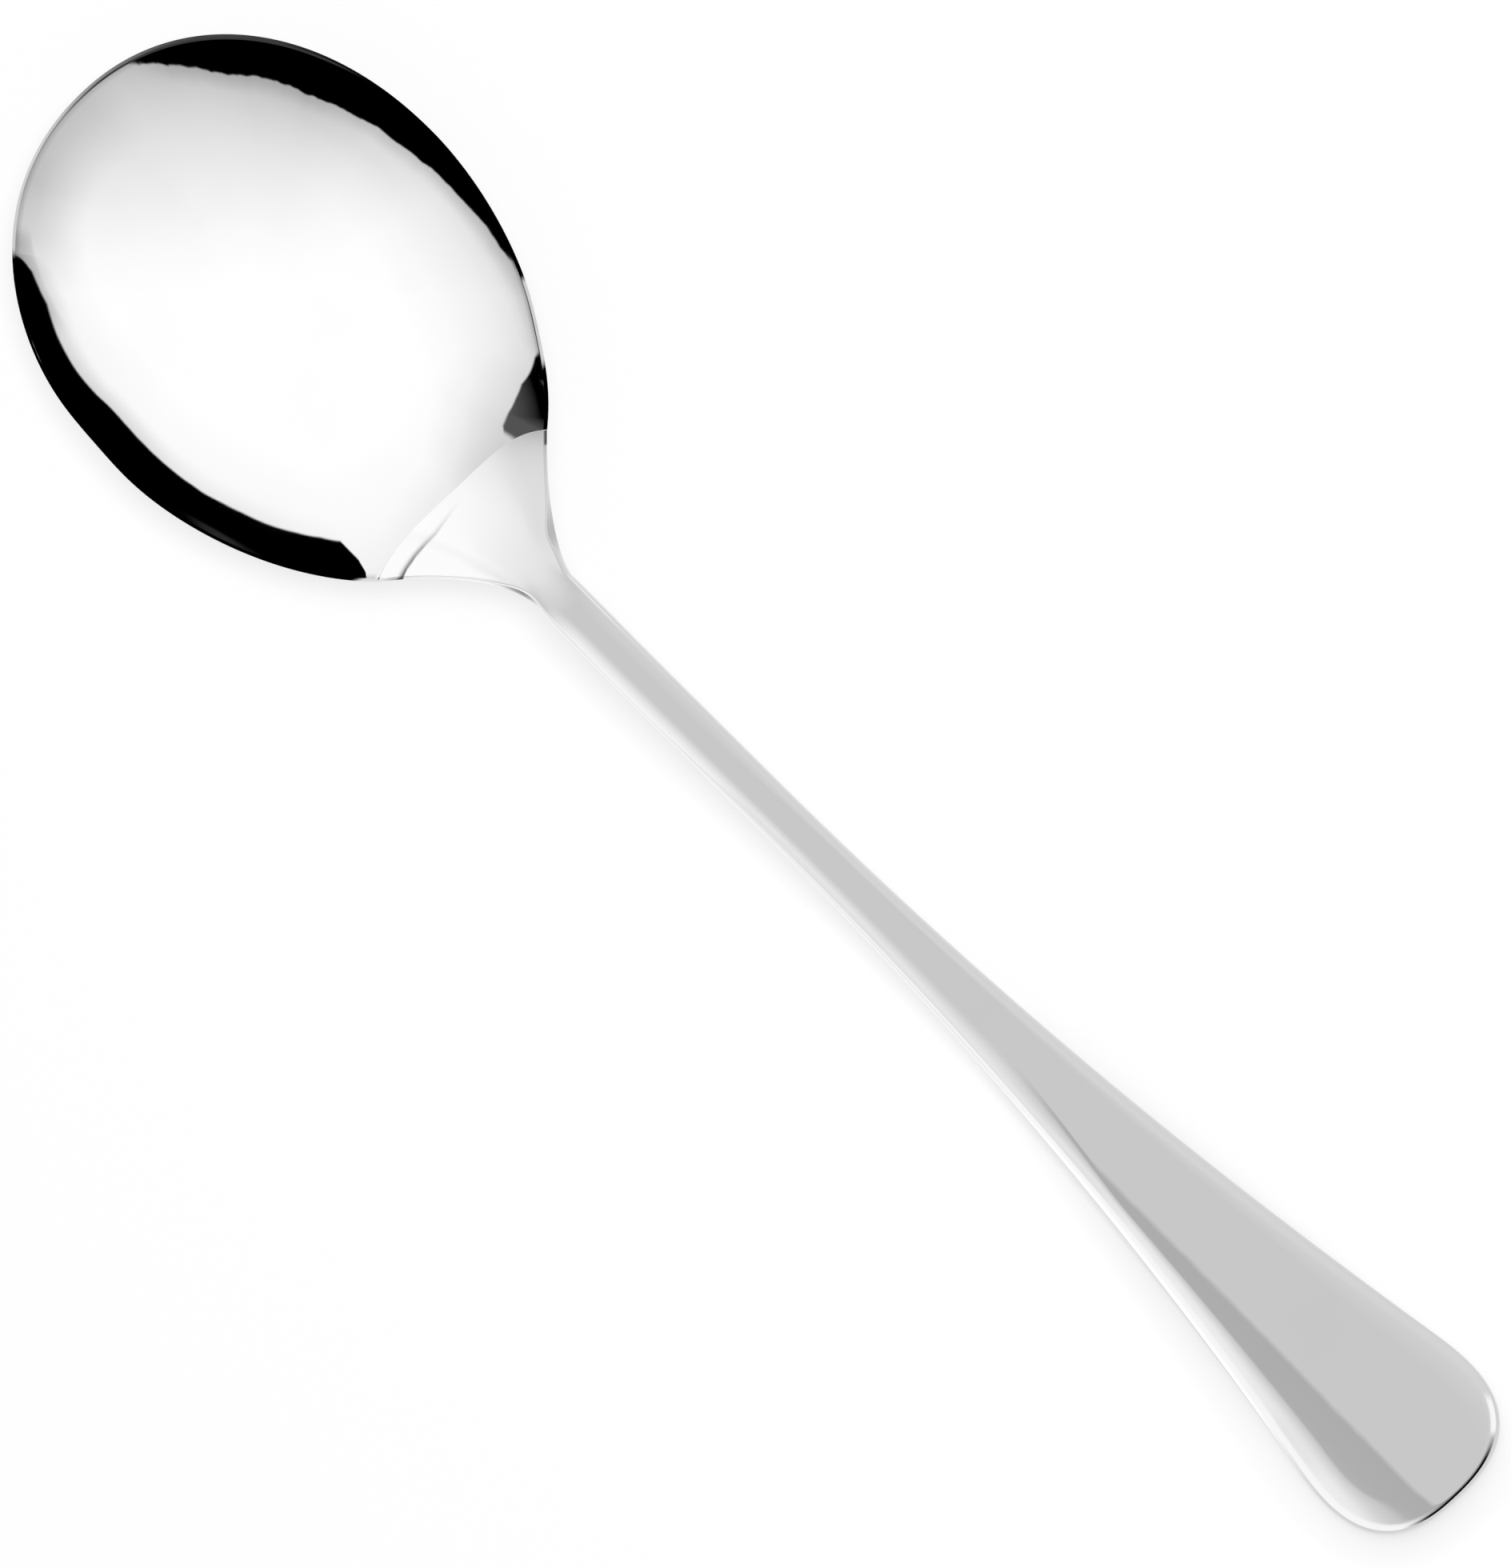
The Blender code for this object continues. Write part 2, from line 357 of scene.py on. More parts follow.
def rail_points(root):
    """The line under the middle of the handle, from the root to the end."""
    third = (CREST_X - root[0]) / 3
    rise = np.array([math.cos(NECK_RISE), 0.0, math.sin(NECK_RISE)]) * third
    along = np.array([1.0, 0.0, 0.0])
    crest = np.array([CREST_X, 0.0, CREST_HEIGHT])
    flat = np.array([FLAT_X, 0.0, 0.0])
    fan = bezier(root, root + rise, crest - along * third, crest, np.linspace(0.0, 1.0, FAN_STEPS + 1))
    shank = bezier(crest, crest + along * CREST_SWEEP, flat - along * FLAT_SWEEP, flat,
                   np.linspace(0.0, 1.0, SHANK_STEPS + 1))
    turns = np.sin(np.linspace(0.0, LAST_TURN, END_STEPS))
    end = points(mix(ROUND_X, END_X, turns), 0.0, 0.0)
    return np.concatenate([fan, shank[1:], end])


print("rail from", round(SEAM_X * 1000, 1), "to", round(END_X * 1000, 1), "mm behind the bowl's middle")

# %% [markdown]
# ## The handle's outline
#
# Seen from above the handle is a fan at the seam, a slim neck, and a flare that grows with the square of the
# distance and ends in a superellipse. To round its edges evenly also at the end, each point needs its
# distance to the outline. Scaling the outline gives it: the share of the way out, over that share's slope.

# %% Handle outline
FAN_LENGTH = 0.0156
NEAR_FAN_EASE = 1.78
FAR_FAN_EASE = 1.45
NECK_HALF = 0.0029
FLARE_X = SEAM_X + 0.0540
END_HALF = 0.01205
END_FULLNESS = 2.46


def full_half_width(x, edge_x, edge_half, share):
    """Half of the width before the end is rounded off."""
    fan = 1.0 - np.clip((x - edge_x) / FAN_LENGTH, 0.0, 1.0)
    fan = np.where(share > 0, fan**FAR_FAN_EASE, fan**NEAR_FAN_EASE)
    flare = np.maximum(0.0, (x - FLARE_X) / (ROUND_X - FLARE_X))
    return NECK_HALF + (edge_half - NECK_HALF) * fan + (END_HALF - NECK_HALF) * flare**2


def widths_and_edge(x, edge_x, edge_half, share):
    """Half widths at x, rounded off and full, how far inside the outline the points at these shares lie, and
    how squarely the nearest edge faces sideways."""
    full = full_half_width(x, edge_x, edge_half, share)
    past = max(0.0, (x - ROUND_X) / END_ROUND)
    half = full * (1.0 - past**END_FULLNESS) ** (1.0 / END_FULLNESS)
    side = np.abs(share) * half / full
    out = np.maximum(1e-6, (past**END_FULLNESS + side**END_FULLNESS) ** (1.0 / END_FULLNESS))
    lengthwise = (past / out) ** (END_FULLNESS - 1.0) / END_ROUND
    crosswise = (side / out) ** (END_FULLNESS - 1.0) / full
    steepness = np.hypot(lengthwise, crosswise)
    return half, full, (1.0 - out) / steepness, crosswise / steepness


print("neck", NECK_HALF * 2000, "mm, end", round(END_HALF * 2000, 1), "mm wide")

# %% [markdown]
# ## The handle's section
#
# A forged handle is a slab whose top is very slightly crowned across, with a bevel along each side and a fully
# rounded edge. Over the broad part the near bevel is crisp and catches the light, and the far one is softer.
# The underside is flat with rounded edges. All of it follows from the distance to the outline.

# %% Handle section
NECK_THICKNESS = 0.00399
END_THICKNESS = 0.0022
NECK_BELLY = 0.0010
END_BELLY = 0.00015
BELLY_ROUND = 0.0022
CROWN_RADIUS = 0.120
NECK_BEVEL = 0.90
NEAR_BEVEL = 0.36
NEAR_BEVEL_EASE = (0.5, 0.75)
FAR_BEVEL = 0.34
FAR_BEVEL_EASE = (0.05, 0.3)
BEVEL_DROP = 0.00044
SOFT_BEVEL = 2.0
CRISP_BEVEL = 1.45
CRISP_EASE = (0.5, 0.7)
THINNING_EASE = 0.04
NECK_EDGE = 0.00045
END_EDGE = 0.0014
EDGE_STRIP = 0.00005


def quarter_round(distance, reach):
    """How far a quarter of an ellipse has dropped, 1 at the edge and 0 from reach inwards."""
    off = np.clip(1.0 - distance / reach, 0.0, 1.0)
    return 1.0 - np.sqrt(1.0 - off**2)


def ramp(value, low, high):
    """A straight rise from 0 at low to 1 at high."""
    return np.clip((value - low) / (high - low), 0.0, 1.0)


def smooth(value, low, high):
    share = ramp(value, low, high)
    return share * share * (3.0 - 2.0 * share)


def thinning(along):
    """How far the handle has thinned, eased in at the crest and out where the end lies flat."""
    begun = np.logaddexp(0.0, along / THINNING_EASE)
    ended = np.logaddexp(0.0, (along - 1.0) / THINNING_EASE)
    return THINNING_EASE * (begun - ended)


def section_heights(thin, y, full, edge, sideways):
    """Heights of the top and the underside over the rail, for points at y and at a distance to the edge."""
    belly = mix(NECK_BELLY, END_BELLY, thin)
    near_share = mix(NECK_BEVEL, NEAR_BEVEL, smooth(thin, *NEAR_BEVEL_EASE))
    far_share = mix(NECK_BEVEL, FAR_BEVEL, smooth(thin, *FAR_BEVEL_EASE))
    bevel_reach = np.minimum(full, END_HALF) * np.where(y > 0, far_share, near_share)
    softness = np.where(y > 0, SOFT_BEVEL, mix(SOFT_BEVEL, CRISP_BEVEL, smooth(thin, *CRISP_EASE)))
    bevel = BEVEL_DROP * sideways**2 * np.clip(1.0 - edge / bevel_reach, 0.0, 1.0) ** softness
    slab = mix(NECK_THICKNESS, END_THICKNESS, thin) - y**2 / (2 * CROWN_RADIUS) - bevel
    edge_drop = mix(NECK_EDGE, slab - belly - EDGE_STRIP, thin)
    top = slab - edge_drop * quarter_round(edge, mix(NECK_EDGE, END_EDGE, thin))
    return top, belly * quarter_round(edge, BELLY_ROUND)


print("thickness", round(NECK_THICKNESS * 1000, 2), "mm at the neck,", END_THICKNESS * 1000, "mm at the end")

# %% [markdown]
# ## The handle's root
#
# The handle carries on the bowl's wall, so its first ring is the wall's own edge along the seam, a shallow
# trough. The lining is written by the rim's angle and not by a plan point, so the angle that belongs to a
# point is found by a few corrections.

# %% Handle root
LINING_ROUNDS = 6


def lining_height(x, y):
    """Height of the lining over the plan point (x, y)."""
    target = np.arctan2(y, x)
    angle = target
    for _ in range(LINING_ROUNDS):
        edge = lining_edge(angle)
        angle = angle + target - np.arctan2(edge[..., 1], edge[..., 0])
    edge = lining_edge(angle)
    share = np.minimum(1.0, np.hypot(x, y) / np.hypot(edge[..., 0], edge[..., 1]))
    return mix(LINING_FLOOR, edge[..., 2], share**LINING_SWELL)


def root_edges(shares):
    """Lower and upper edge of the handle's root, along the seam."""
    shift = SEAM_LINE / 2
    y = mix(corner_y(-1, shift), corner_y(1, shift), (shares + 1.0) / 2)
    x = seam_x(y, shift)
    lower = back_point(back_climb(x, y), np.arctan2(y, x))
    return lower, points(x, y, lining_height(x, y))


root_line = root_edges(np.array([-1.0, 1.0]))[0]
print("root", round(np.ptp(root_line[:, 1]) * 1000, 1), "mm wide at the seam")

# %% [markdown]
# ## The weld bead
#
# On the near side the weld stands up as a bead along the seam, as wide as a match at the rim and gone by the
# middle. It could be a piece of its own, but a polished weld has no edge to part it at, so it is a height
# that is added to the handle's top. The same function paints shade at the foot of the bead and at the seam's
# two corners, and makes the steel matt there. Pairs of numbers are the start and end of a ramp.

# %% Weld bead
BEAD_WIDTH = 0.0026
BEAD_CURL = 0.0008
BEAD_HEIGHT = 0.00030
BEAD_REACH = 0.0146
BEAD_NARROWEST = 0.55
BEAD_WIDENING = 1.1
BEAD_RISE = (0.0, 0.6)
BEAD_FALL = (0.8, 1.0)
# strength of the shade painted at the foot of the bead
BEAD_PAINTED_SHADE = 1.5
BEAD_FOOT = (0.68, 0.98)
BEAD_END = (1.02, 0.98)
NEAR_BRINK = (0.0003, 0.0)
FAR_BRINK = (0.0003, 0.0001)
FAR_BRINK_END = (0.0024, 0.0020)
# strength of the grey shade painted in the far corner of the seam
CORNER_PAINTED_SHADE = 0.42
CORNER_FADE = 0.0032
CORNER_START = (0.006, 0.012)


def weld_bead(from_seam, y):
    """Height of the weld bead, and the painted shade and matt round the seam, for points behind it."""
    near = ramp(-y, 0.0, BEAD_REACH)
    width = BEAD_WIDTH * np.minimum(1.0, BEAD_NARROWEST + BEAD_WIDENING * near) + BEAD_CURL * near**6
    share = from_seam / width
    rise = np.sin(ramp(share, *BEAD_RISE) * math.pi / 2)
    fall = (1.0 + np.cos(ramp(share, *BEAD_FALL) * math.pi)) / 2
    foot = (ramp(share, *BEAD_FOOT) * near) ** 1.5
    brink = ramp(y - y.min(), *NEAR_BRINK) * ramp(share, 0.0, 1.0) ** 1.5 * near**3
    # painted shade: dark lines at the foot of the bead and along its near brink
    bead_painted_shade = BEAD_PAINTED_SHADE * ramp(share, *BEAD_END) * (foot + brink)
    # painted shade: a grey patch in the far corner of the seam
    corner = CORNER_PAINTED_SHADE * np.exp(-from_seam / CORNER_FADE) * ramp(y, *CORNER_START)
    # painted shade: a dark line along the far brink beside the seam
    far_brink = ramp(y.max() - y, *FAR_BRINK) * ramp(from_seam, *FAR_BRINK_END)
    return BEAD_HEIGHT * near**3 * rise * fall, np.clip(bead_painted_shade + corner + far_brink, 0.0, 1.0)


print("bead", BEAD_WIDTH * 1000, "mm wide and", BEAD_HEIGHT * 1000, "mm high at the rim")

# %% [markdown]
# ## The handle
#
# Along the fan the root's trough fades out and the handle's section fades in. Each ring has its top, its
# underside and a rolled side between them. Where the fan ends, a grinding wheel has cut the top's edges back
# a little and left the sides sloping. Shade is painted on those slopes and in the far corner of the seam, and
# the steel is matt there.

# %% Make the handle
TROUGH_EASE = 1.8
SECTION_STEPS = 128
SIDE_STEPS = 8
SIDE_BULGE = 0.04
WAIST_INSET = 0.0009
FAR_WAIST_X = SEAM_X + 0.0122
FAR_WAIST_SPREAD = 0.0045
# strength of the shade painted on the far slope of the waist
FAR_WAIST_PAINTED_SHADE = 0.3
NEAR_WAIST_X = SEAM_X + 0.0158
NEAR_WAIST_SPREAD = 0.0065
NEAR_WAIST_SHARE = 0.66
# strength of the shade painted on the near slope of the waist
NEAR_WAIST_PAINTED_SHADE = 1.5
# a dark line of painted shade in the far corner of the seam, fading away from it
SEAM_CORNER_PAINTED_SHADE = 0.9
SEAM_CORNER_SHADE_END = (0.0026, 0.0018)


def rolled_side(start, end):
    """Points between two edge points, bulging outwards across the handle."""
    side = []
    bulge = np.linalg.norm(end - start) * SIDE_BULGE
    outward = np.array([0.0, math.copysign(1.0, start[1] + end[1]), 0.0])
    for turn in np.linspace(0.0, math.pi, SIDE_STEPS + 1)[1:-1]:
        side.append(mix(start, end, (1.0 - math.cos(turn)) / 2) + outward * bulge * math.sin(turn))
    return np.array(side)


def end_faces(ring, count):
    """Faces that close a ring: strips between its top and underside, and its two rolled sides."""
    first = ring * count
    last_top = SECTION_STEPS
    first_under = SECTION_STEPS + SIDE_STEPS
    last_under = first_under + SECTION_STEPS
    faces = [[i, i + 1, last_under - i - 1, last_under - i] for i in range(SECTION_STEPS)]
    faces.append(list(range(last_top, first_under + 1)))
    faces.append(list(range(last_under, count)) + [0])
    return [[first + i for i in face] for face in faces]


def make_handle():
    shares = np.cos(np.linspace(0.0, math.pi, SECTION_STEPS + 1))
    lower, upper = root_edges(shares)
    root = lower[SECTION_STEPS // 2]
    root_x = root[0]
    edge_x = (lower[0][0] + lower[-1][0]) / 2
    edge_half = (lower[0][1] - lower[-1][1]) / 2
    base = points(root_x, edge_half * shares, root[2])
    rail = rail_points(root)
    ahead = unit(np.gradient(rail, axis=0))
    rings, painted_shade_and_matt = [], []
    for place, forward in zip(rail, ahead):
        normal = np.array([-forward[2], 0.0, forward[0]])
        trough = (1.0 - min(1.0, (place[0] - root_x) / CREST_REACH)) ** TROUGH_EASE
        x = place[0] + trough * (edge_x - root_x)
        half, full, edge, sideways = widths_and_edge(x, edge_x, edge_half, shares)
        thin = thinning((place[0] - CREST_X) / (FLAT_X - CREST_X))
        up, down = section_heights(thin, half * shares, full, edge, sideways)
        side = points(place[0], half * shares, place[2])
        top = side + (upper - base) * trough + normal * up[:, None] * (1.0 - trough)
        under = side + (lower - base) * trough + normal * down[:, None] * (1.0 - trough)
        far_waist = bump(x, FAR_WAIST_X, FAR_WAIST_SPREAD)
        near_waist = bump(x, NEAR_WAIST_X, NEAR_WAIST_SPREAD) * NEAR_WAIST_SHARE
        top[:, 1] *= 1.0 - np.where(shares > 0, far_waist, near_waist) * WAIST_INSET / half
        from_seam = top[:, 0] - seam_x(top[:, 1], SEAM_LINE / 2)
        height, top_painted_shade = weld_bead(from_seam, top[:, 1])
        top[:, 2] += height
        under = under[::-1]
        rings.append(np.concatenate([
            top, rolled_side(top[-1], under[0]), under, rolled_side(under[-1], top[0])]))
        slope = np.ones(SIDE_STEPS - 1)
        # painted shade on the sloping sides at the waist, and a dark line in the far corner of the seam
        near_slope_painted_shade = NEAR_WAIST_PAINTED_SHADE * near_waist * slope
        far_slope_painted_shade = max(FAR_WAIST_PAINTED_SHADE * far_waist, SEAM_CORNER_PAINTED_SHADE * smooth(from_seam[0], *SEAM_CORNER_SHADE_END)) * slope
        painted_shade_and_matt.append(np.concatenate([top_painted_shade, near_slope_painted_shade, 0.0 * top_painted_shade, far_slope_painted_shade]))
    rings = np.array(rings)
    rings[..., 0] += BOWL_X
    count = rings.shape[1]
    piece = loft("forged_handle", rings, [], end_faces(0, count) + end_faces(len(rings) - 1, count))
    return carry_painted_shade(piece, painted_shade_and_matt)


handle = make_handle()

# %% [markdown]
# ## Riding on the frame
#
# The spoon is rigid, so both pieces ride on its one body. Each stands for its CAD node, which is hidden.

# %% Ride on the body
for piece, node, slot in ((bowl, "bowl", "bowl_steel"), (handle, "handle", "handle_steel")):
    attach(piece, "root")
    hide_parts(node)
print("riding on root:", bowl.name, handle.name)

# %% [markdown]
# ## Shader maths in Python
#
# A node tree is a formula, and formulas are easier to read as Python. This class wraps one output socket.
# Arithmetic on it adds Math nodes, and its one method adds any other node.

# %% Wire class


class Wire:
    """One output socket of a node tree, or the start of a tree when it has no socket yet."""

    def __init__(self, tree, socket=None):
        self.tree = tree
        self.socket = socket

    def node(self, kind, settings, sockets, output=0):
        """Adds a node: its settings first, then values or links for its sockets, by name or number."""
        made = self.tree.nodes.new(kind)
        for name, value in settings.items():
            setattr(made, name, value)
        for name, value in sockets.items():
            if isinstance(value, Wire):
                self.tree.links.new(value.socket, made.inputs[name])
            else:
                made.inputs[name].default_value = value
        return Wire(self.tree, made.outputs[output]) if len(made.outputs) else None

    def math(self, operation, first, second=0.0):
        return self.node("ShaderNodeMath", {"operation": operation}, {0: first, 1: second})

    def __add__(self, other):
        return self.math("ADD", self, other)

    __radd__ = __add__

    def __sub__(self, other):
        return self.math("SUBTRACT", self, other)

    def __rsub__(self, other):
        return self.math("SUBTRACT", other, self)

    def __mul__(self, other):
        return self.math("MULTIPLY", self, other)

    __rmul__ = __mul__

    def most(self, other):
        return self.math("MAXIMUM", self, other)

    def degrees_from(self, other):
        """The angle, in degrees, whose tangent is self over other."""
        return self.math("ARCTAN2", self, other) * math.degrees(1.0)

    def step(self, low, high):
        """A smooth step from 0 at low to 1 at high."""
        return self.node("ShaderNodeMapRange", {"interpolation_type": "SMOOTHSTEP"},
                         {0: self, 1: low, 2: high})

    def towards(self, other, share):
        return self + share * (other - self)

    def curve(self, stops):
        """A chain of straight lines through (value, result) stops, level beyond both ends."""
        result = stops[0][1]
        for (low, start), (high, end) in zip(stops, stops[1:]):
            rise = self.node("ShaderNodeMapRange", {}, {0: self, 1: low, 2: high, 4: end - start})
            result = result + rise
        return result


def new_tree(name):
    """A material with an empty node tree, and a wire to start from."""
    material = bpy.data.materials.new(name)
    material.use_nodes = True
    material.node_tree.nodes.clear()
    return material, Wire(material.node_tree)


print("Wire ready")

# %% [markdown]
# ## Polished steel
#
# Mirror-polished stainless steel reflects about two thirds of the light, without colour. It is never a
# perfect mirror: the buffing wheel leaves faint lines along the piece, the sheet is a little wavy where it
# was drawn, and fingers and dust leave dull patches and specks. Roughness, colour and a very shallow bump
# carry those. Where the mesh asks for it, shade is painted into the colour and the steel is more blurred.

# %% Steel material
STEEL = (0.64, 0.64, 0.645, 1.0)
SMUDGED_STEEL = (0.63, 0.63, 0.632, 1.0)
# the dark colour that painted shade mixes into the steel
PAINTED_SHADE_COLOUR = (0.08, 0.08, 0.08, 1.0)
SMUDGE_SCALE = 90.0
RIPPLE_SCALE = 260.0
RIPPLE_STRENGTH = 0.35
RIPPLE_DEPTH = 0.000010
MIRROR_BLUR = 0.012
SMUDGE_BLUR = 0.01
LINE_BLUR = 0.012
BOWL_BUFFING = (900.0, 900.0, 900.0)
BOWL_DULL_BLUR = 0.02
HANDLE_BUFFING = (80.0, 2400.0, 2400.0)
HANDLE_DULL_BLUR = 0.2


def polished_steel(name, buffing, dull_blur):
    """Steel whose buffing lines run along the axis in which the buffing scale is small."""
    material, start = new_tree(name)
    place = start.node("ShaderNodeTexCoord", {}, {}, "Object")
    lines_place = start.node("ShaderNodeMapping", {}, {"Vector": place, "Scale": buffing})
    lines = start.node("ShaderNodeTexNoise", {}, {"Vector": lines_place, "Scale": 1.0, "Detail": 3.0})
    smudge = start.node("ShaderNodeTexNoise", {}, {"Vector": place, "Scale": SMUDGE_SCALE, "Detail": 4.0})
    patch = smudge.step(0.5, 0.75)
    clean = start.node("ShaderNodeMix", {"data_type": "RGBA"}, {0: patch, 6: STEEL, 7: SMUDGED_STEEL}, 2)
    # the mesh's number paints shade into the colour here, and also makes the steel matt
    painted_shade_and_matt = start.node("ShaderNodeAttribute", {"attribute_name": "painted_shade_and_matt"}, {}, "Fac")
    colour = start.node("ShaderNodeMix", {"data_type": "RGBA"}, {0: painted_shade_and_matt, 6: clean, 7: PAINTED_SHADE_COLOUR}, 2)
    ripple = start.node("ShaderNodeTexNoise", {}, {"Vector": place, "Scale": RIPPLE_SCALE, "Detail": 1.0})
    waviness = start.node("ShaderNodeBump", {}, {
        "Strength": RIPPLE_STRENGTH, "Distance": RIPPLE_DEPTH, "Height": ripple})
    blur = MIRROR_BLUR + SMUDGE_BLUR * patch + LINE_BLUR * lines + dull_blur * painted_shade_and_matt
    steel = start.node("ShaderNodeBsdfPrincipled", {}, {
        "Base Color": colour, "Metallic": 1.0, "Roughness": blur, "Normal": waviness})
    start.node("ShaderNodeOutputMaterial", {}, {"Surface": steel})
    return material


bowl.data.materials.append(polished_steel("bowl_mirror_steel", BOWL_BUFFING, BOWL_DULL_BLUR))
handle.data.materials.append(polished_steel("handle_mirror_steel", HANDLE_BUFFING, HANDLE_DULL_BLUR))
print("steel on", bowl.name, "and", handle.name)

# %% [markdown]
# ## White table
#
# The spoon lies on a white sheet that is lit until it is almost blank, with only a thin soft shadow left.
# Most of what the camera and the steel see of it is therefore plain white light of strength 1, and the rest
# is a matt white that keeps the shadow. Close to the steel the shadow is a little deeper. Ambient occlusion
# that looks up towards the lamp's side gives that contact shade. In the steel's reflections the sheet is
# brighter along the handle's near side, which lights the near edge of the handle.

# %% Table finish
FLOOR_GLOW = 0.66
FLOOR_WHITE = (0.9, 0.9, 0.9, 1.0)
NEAR_GLOW = 0.45
BROAD_GLOW = 0.35
BROAD_GLOW_START = (0.04, 0.06)
GLOW_SIDE = (-0.001, -0.004)
GLOW_END = (0.112, 0.095)
CONTACT_SHADOW = 0.55
CONTACT_REACH = 0.005
CONTACT_FACING = (-0.4, 0.6, 0.7)


def seen_rays(start):
    """Rays from the camera, rays from a mirror, and all rays by which a background is seen."""
    camera_ray, glossy_ray, transmitted_ray = (
        start.node("ShaderNodeLightPath", {}, {}, kind)
        for kind in ("Is Camera Ray", "Is Glossy Ray", "Is Transmission Ray"))
    return camera_ray, glossy_ray, camera_ray.most(glossy_ray).most(transmitted_ray)


def white_table():
    material, start = new_tree("white_table")
    camera_ray, glossy_ray, seen = seen_rays(start)
    matt = start.node("ShaderNodeBsdfDiffuse", {}, {"Color": FLOOR_WHITE})
    place = start.node("ShaderNodeNewGeometry", {}, {}, "Position")
    x, y = (start.node("ShaderNodeSeparateXYZ", {}, {0: place}, axis) for axis in "XY")
    near_glow = (NEAR_GLOW + BROAD_GLOW * x.step(*BROAD_GLOW_START)) * y.step(*GLOW_SIDE) * x.step(*GLOW_END)
    facing = start.node("ShaderNodeCombineXYZ", {}, dict(enumerate(CONTACT_FACING)))
    open_share = start.node("ShaderNodeAmbientOcclusion", {"samples": 8}, {
        "Distance": CONTACT_REACH, "Normal": facing}, "AO")
    level = 1.0 + glossy_ray * near_glow - camera_ray * CONTACT_SHADOW * (1.0 - open_share)
    glow = start.node("ShaderNodeEmission", {}, {"Color": level, "Strength": 1.0})
    both = start.node("ShaderNodeMixShader", {}, {0: seen * FLOOR_GLOW, 1: matt, 2: glow})
    start.node("ShaderNodeOutputMaterial", {}, {"Surface": both})
    return material


table_finish = white_table()
print(table_finish.name, "has", len(table_finish.node_tree.nodes), "nodes")

# %% Floor
FLOOR_REACH = 0.29
FLOOR_SIDES = 96
FLOOR_DROP = 0.00005


def make_floor():
    turns = np.linspace(0.0, 2 * math.pi, FLOOR_SIDES, endpoint=False)
    edge = points(FLOOR_REACH * np.cos(turns), FLOOR_REACH * np.sin(turns), -FLOOR_DROP)
    mesh = bpy.data.meshes.new("table")
    mesh.from_pydata(edge.tolist(), [], [list(range(FLOOR_SIDES))])
    mesh.materials.append(table_finish)
    floor = bpy.data.objects.new("table", mesh)
    bpy.context.scene.collection.objects.link(floor)


make_floor()
print("table", FLOOR_REACH * 2, "m wide")

# %% [markdown]
# ## Room light and lamp
#
# The room is white all round. A large soft lamp, a little towards the spoon's far side, gives the shadow its
# side: it falls along the near edge of the spoon.

# %% World and lamp
ROOM_LIGHT = 0.67
LAMP_POWER = 15.6
LAMP_SIZE = 0.5
LAMP_DISTANCE = 1.6
LAMP_LEAN = math.radians(13.0)


def make_room():
    world = bpy.data.worlds.new("white_room")
    bpy.context.scene.world = world
    world.use_nodes = True
    world.node_tree.nodes.clear()
    start = Wire(world.node_tree)
    _, _, seen = seen_rays(start)
    room = start.node("ShaderNodeBackground", {}, {"Strength": ROOM_LIGHT})
    white = start.node("ShaderNodeBackground", {}, {"Color": (1.0, 1.0, 1.0, 1.0), "Strength": 1.0})
    both = start.node("ShaderNodeMixShader", {}, {0: seen, 1: room, 2: white})
    start.node("ShaderNodeOutputWorld", {}, {"Surface": both})


def make_lamp():
    light = bpy.data.lights.new("soft_lamp", "AREA")
    light.energy = LAMP_POWER
    light.size = LAMP_SIZE
    lamp = bpy.data.objects.new("soft_lamp", light)
    bpy.context.scene.collection.objects.link(lamp)
    lamp.location = (0.0, LAMP_DISTANCE * math.sin(LAMP_LEAN), LAMP_DISTANCE * math.cos(LAMP_LEAN))
    lamp.rotation_euler = (-LAMP_LEAN, 0.0, 0.0)
    lamp.visible_glossy = False
    return lamp


make_room()
lamp = make_lamp()
print("lamp", LAMP_POWER, "W at", [round(value, 2) for value in lamp.location])

# %% [markdown]
# ## Light tents
#
# Polished steel shows its surroundings and nothing else, so product photographers build the surroundings: a
# white tent over the piece, with black cards at its foot that draw dark lines round the form. The photograph
# shows two such settings, one in the bowl and one in the handle, so each piece gets a tent of its own by
# light linking. A tent is a dome that only mirrors see: it lights nothing else and casts no shadow.

# %% Tent helper
TENT_RINGS = 48
TENT_LEVEL = 0.94


